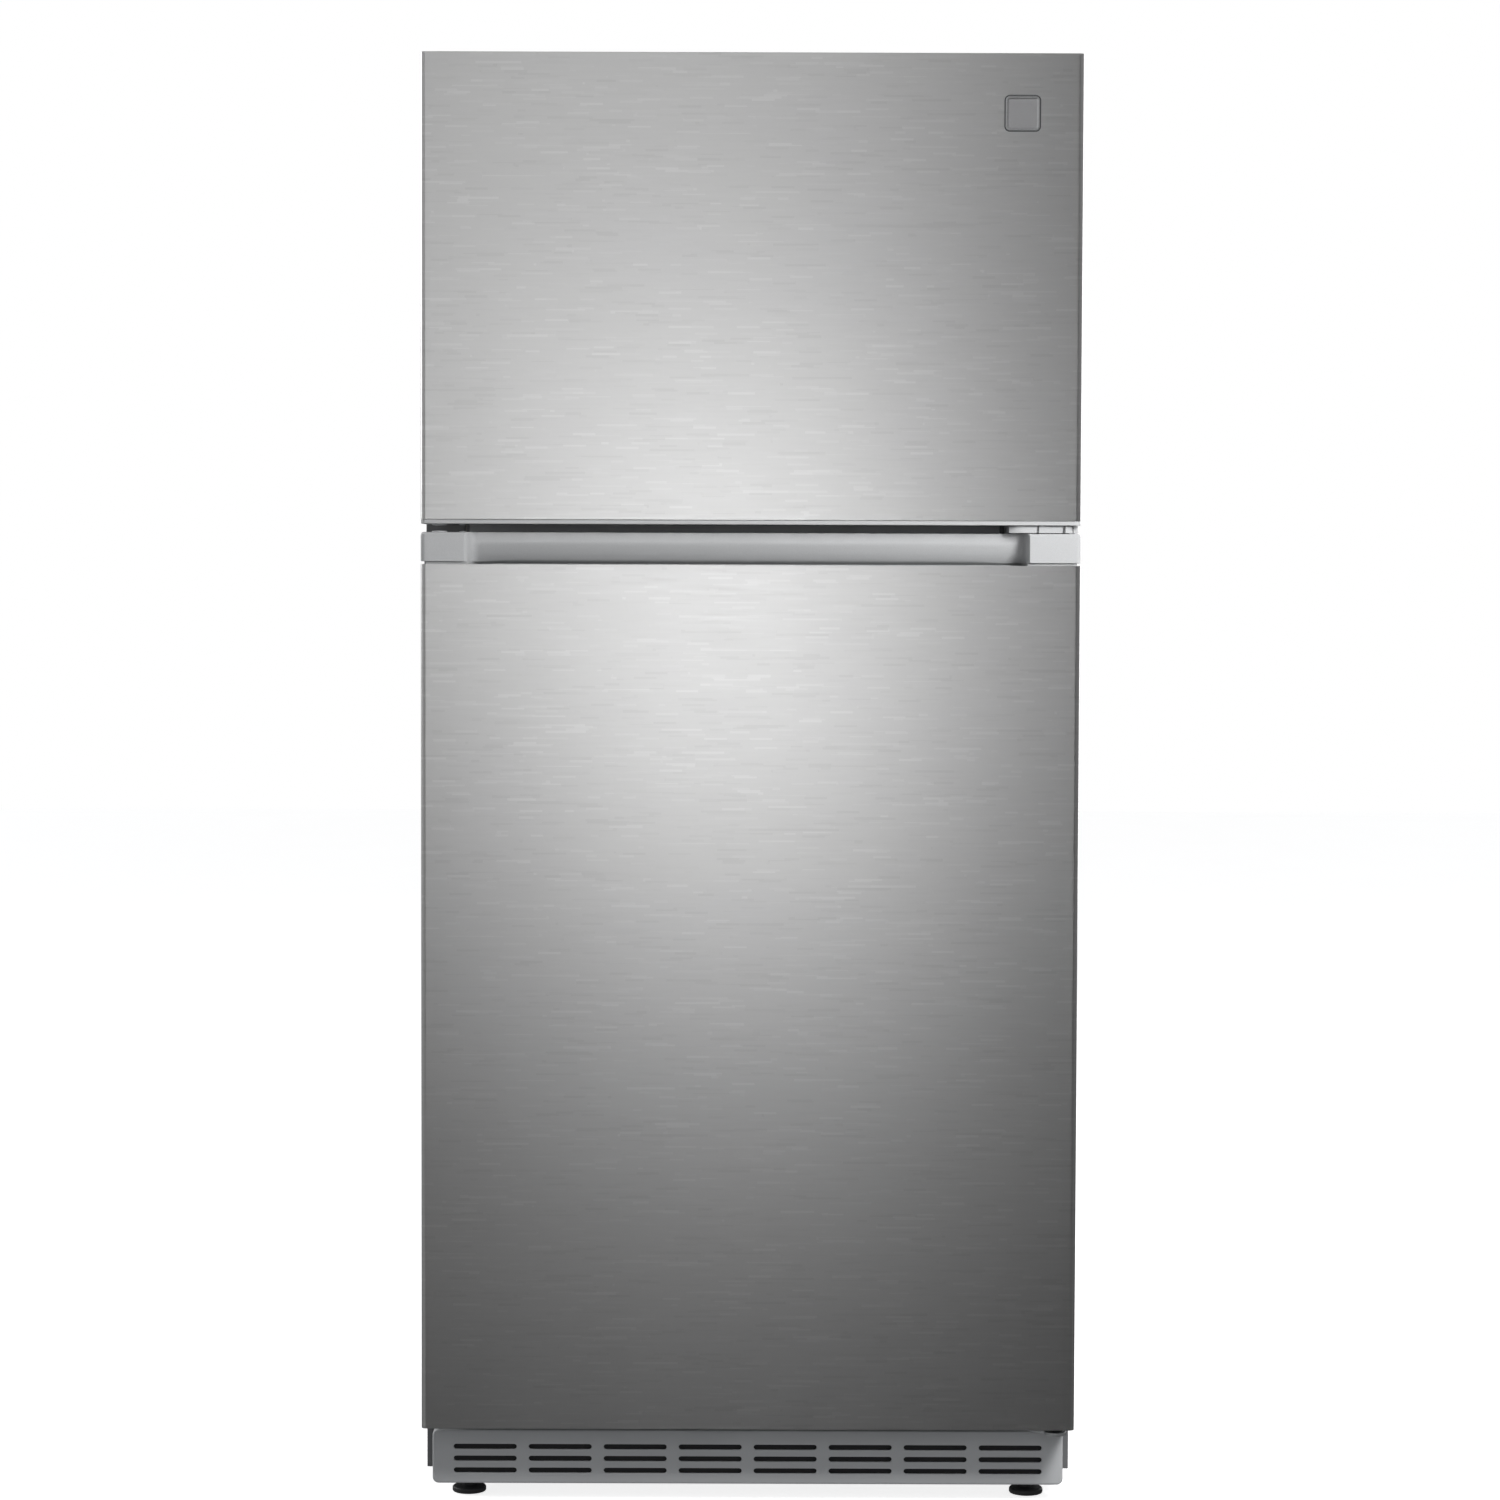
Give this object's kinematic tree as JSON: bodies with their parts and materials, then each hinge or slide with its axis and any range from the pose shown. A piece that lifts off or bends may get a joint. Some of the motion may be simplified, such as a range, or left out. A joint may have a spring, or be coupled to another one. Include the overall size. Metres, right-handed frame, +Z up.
{
  "type": "top freezer refrigerator",
  "caption": "Upright refrigerator with a separate freezer on top, steel doors hinged on the right, a recessed handle between them, shelves, drawers and door bins.",
  "frame": {"origin": "on the floor, below the centre of the box that the whole refrigerator fills", "axes": "+X to the right as seen from the front, +Y to the back, +Z up; the doors face -Y"},
  "size_m": [0.756, 0.832, 1.68],
  "materials": {
    "stainless_steel": "satin",
    "badge_metal": "satin",
    "silver_plastic": "satin",
    "case_paint": "satin",
    "zinc_steel": "satin",
    "white_plastic": "satin",
    "grey_plastic": "satin",
    "gasket_rubber": "matte",
    "foam": "matte",
    "shelf_glass": "gloss",
    "clear_plastic": "gloss",
    "black_paint": "satin",
    "black_plastic": "matte",
    "aluminium": "satin"
  },
  "bodies": {
    "cabinet": {"cabinet_shell": "case_paint", "back_panel": "zinc_steel", "base_frame": "zinc_steel", "cabinet_foam": "foam", "freezer_liner": "white_plastic", "fridge_liner": "white_plastic", "mullion_cover": "case_paint", "toe_grille": "grey_plastic", "top_hinge": "zinc_steel", "top_hinge_cover": "grey_plastic", "center_hinge": "zinc_steel", "bottom_hinge": "zinc_steel", "evaporator_cover": "white_plastic", "evaporator_coil": "aluminium", "evaporator_fan_motor": "zinc_steel", "fridge_air_duct": "white_plastic", "lamp_housing": "white_plastic", "freezer_shelf": "shelf_glass", "upper_shelf_frame": "white_plastic", "upper_shelf_glass": "shelf_glass", "lower_shelf_frame": "white_plastic", "lower_shelf_glass": "shelf_glass", "crisper_cover_frame": "white_plastic", "crisper_cover_glass": "shelf_glass", "compressor": "black_paint", "condenser_coil": "black_paint", "condenser_fan_motor": "zinc_steel", "drain_pan": "grey_plastic", "machine_cover": "grey_plastic", "cord_gland": "black_plastic"},
    "freezer_door": {"freezer_door_skin": "stainless_steel", "freezer_door_foam": "foam", "freezer_door_liner": "white_plastic", "freezer_door_gasket": "gasket_rubber", "freezer_door_top_cap": "silver_plastic", "freezer_door_bottom_cap": "silver_plastic", "badge": "badge_metal"},
    "fridge_door": {"fridge_door_skin": "stainless_steel", "fridge_door_foam": "foam", "fridge_door_liner": "white_plastic", "fridge_door_gasket": "gasket_rubber", "fridge_door_handle": "silver_plastic", "fridge_door_bottom_cap": "silver_plastic"},
    "evaporator_fan": {"evaporator_fan": "white_plastic"},
    "condenser_fan": {"condenser_fan": "black_plastic"},
    "rear_roller_left": {"rear_roller_left": "black_plastic"},
    "rear_roller_right": {"rear_roller_right": "black_plastic"},
    "leveling_leg_left": {"leveling_leg_left": "black_plastic"},
    "leveling_leg_right": {"leveling_leg_right": "black_plastic"},
    "crisper_left": {"crisper_left": "clear_plastic"},
    "crisper_right": {"crisper_right": "clear_plastic"},
    "fridge_knob": {"fridge_knob": "grey_plastic"},
    "freezer_knob": {"freezer_knob": "grey_plastic"},
    "light_switch": {"light_switch": "white_plastic"},
    "freezer_bin_upper": {"freezer_bin_upper": "clear_plastic"},
    "freezer_bin_lower": {"freezer_bin_lower": "clear_plastic"},
    "dairy_bin": {"dairy_bin": "clear_plastic"},
    "dairy_lid": {"dairy_lid": "clear_plastic"},
    "fridge_bin_middle": {"fridge_bin_middle": "clear_plastic"},
    "fridge_bin_lower": {"fridge_bin_lower": "clear_plastic"}
  },
  "joints": [
    {"name": "freezer_door_hinge", "type": "hinge", "parent": "cabinet", "child": "freezer_door", "pos_m": [0.358, -0.391, 1.4], "axis": [0, 0, 1], "range_deg": [0, 120]},
    {"name": "fridge_door_hinge", "type": "hinge", "parent": "cabinet", "child": "fridge_door", "pos_m": [0.358, -0.391, 0.6], "axis": [0, 0, 1], "range_deg": [0, 120]},
    {"name": "crisper_left_slide", "type": "slide", "parent": "cabinet", "child": "crisper_left", "axis": [0, -1, 0], "range_m": [0, 0.05]},
    {"name": "crisper_right_slide", "type": "slide", "parent": "cabinet", "child": "crisper_right", "axis": [0, -1, 0], "range_m": [0, 0.05]},
    {"name": "freezer_bin_upper_lift", "type": "slide", "parent": "freezer_door", "child": "freezer_bin_upper", "axis": [0, 0, 1], "range_m": [0, 0.022]},
    {"name": "freezer_bin_lower_lift", "type": "slide", "parent": "freezer_door", "child": "freezer_bin_lower", "axis": [0, 0, 1], "range_m": [0, 0.022]},
    {"name": "dairy_bin_lift", "type": "slide", "parent": "fridge_door", "child": "dairy_bin", "axis": [0, 0, 1], "range_m": [0, 0.022]},
    {"name": "fridge_bin_middle_lift", "type": "slide", "parent": "fridge_door", "child": "fridge_bin_middle", "axis": [0, 0, 1], "range_m": [0, 0.022]},
    {"name": "fridge_bin_lower_lift", "type": "slide", "parent": "fridge_door", "child": "fridge_bin_lower", "axis": [0, 0, 1], "range_m": [0, 0.022]},
    {"name": "dairy_lid_hinge", "type": "hinge", "parent": "dairy_bin", "child": "dairy_lid", "pos_m": [0, -0.339, 0.946], "axis": [1, 0, 0], "range_deg": [0, 70]},
    {"name": "light_switch_plunger", "type": "slide", "parent": "cabinet", "child": "light_switch", "axis": [0, -1, 0], "range_m": [0, 0.0056]},
    {"name": "fridge_knob_turn", "type": "hinge", "parent": "cabinet", "child": "fridge_knob", "pos_m": [0.085, -0.2853, 1.073], "axis": [0, 1, 0], "range_deg": [0, 270]},
    {"name": "freezer_knob_turn", "type": "hinge", "parent": "cabinet", "child": "freezer_knob", "pos_m": [-0.2, 0.2397, 1.33], "axis": [0, 1, 0], "range_deg": [0, 270]},
    {"name": "evaporator_fan_spin", "type": "hinge", "parent": "cabinet", "child": "evaporator_fan", "pos_m": [0, 0.276, 1.5], "axis": [0, 1, 0], "continuous": true},
    {"name": "condenser_fan_spin", "type": "hinge", "parent": "cabinet", "child": "condenser_fan", "pos_m": [-0.082, 0.25, 0.18], "axis": [1, 0, 0], "continuous": true},
    {"name": "rear_roller_left_spin", "type": "hinge", "parent": "cabinet", "child": "rear_roller_left", "pos_m": [-0.33, 0.34, 0.018], "axis": [1, 0, 0], "continuous": true},
    {"name": "rear_roller_right_spin", "type": "hinge", "parent": "cabinet", "child": "rear_roller_right", "pos_m": [0.33, 0.34, 0.018], "axis": [1, 0, 0], "continuous": true},
    {"name": "leveling_leg_left_turn", "type": "hinge", "parent": "cabinet", "child": "leveling_leg_left", "pos_m": [-0.33, -0.314, 0], "axis": [0, 0, 1], "continuous": true},
    {"name": "leveling_leg_right_turn", "type": "hinge", "parent": "cabinet", "child": "leveling_leg_right", "pos_m": [0.33, -0.314, 0], "axis": [0, 0, 1], "continuous": true}
  ],
  "couplings": [
    {"joint": "light_switch_plunger", "follows": "fridge_door_hinge", "m_per_rad": 0.0026}
  ]
}
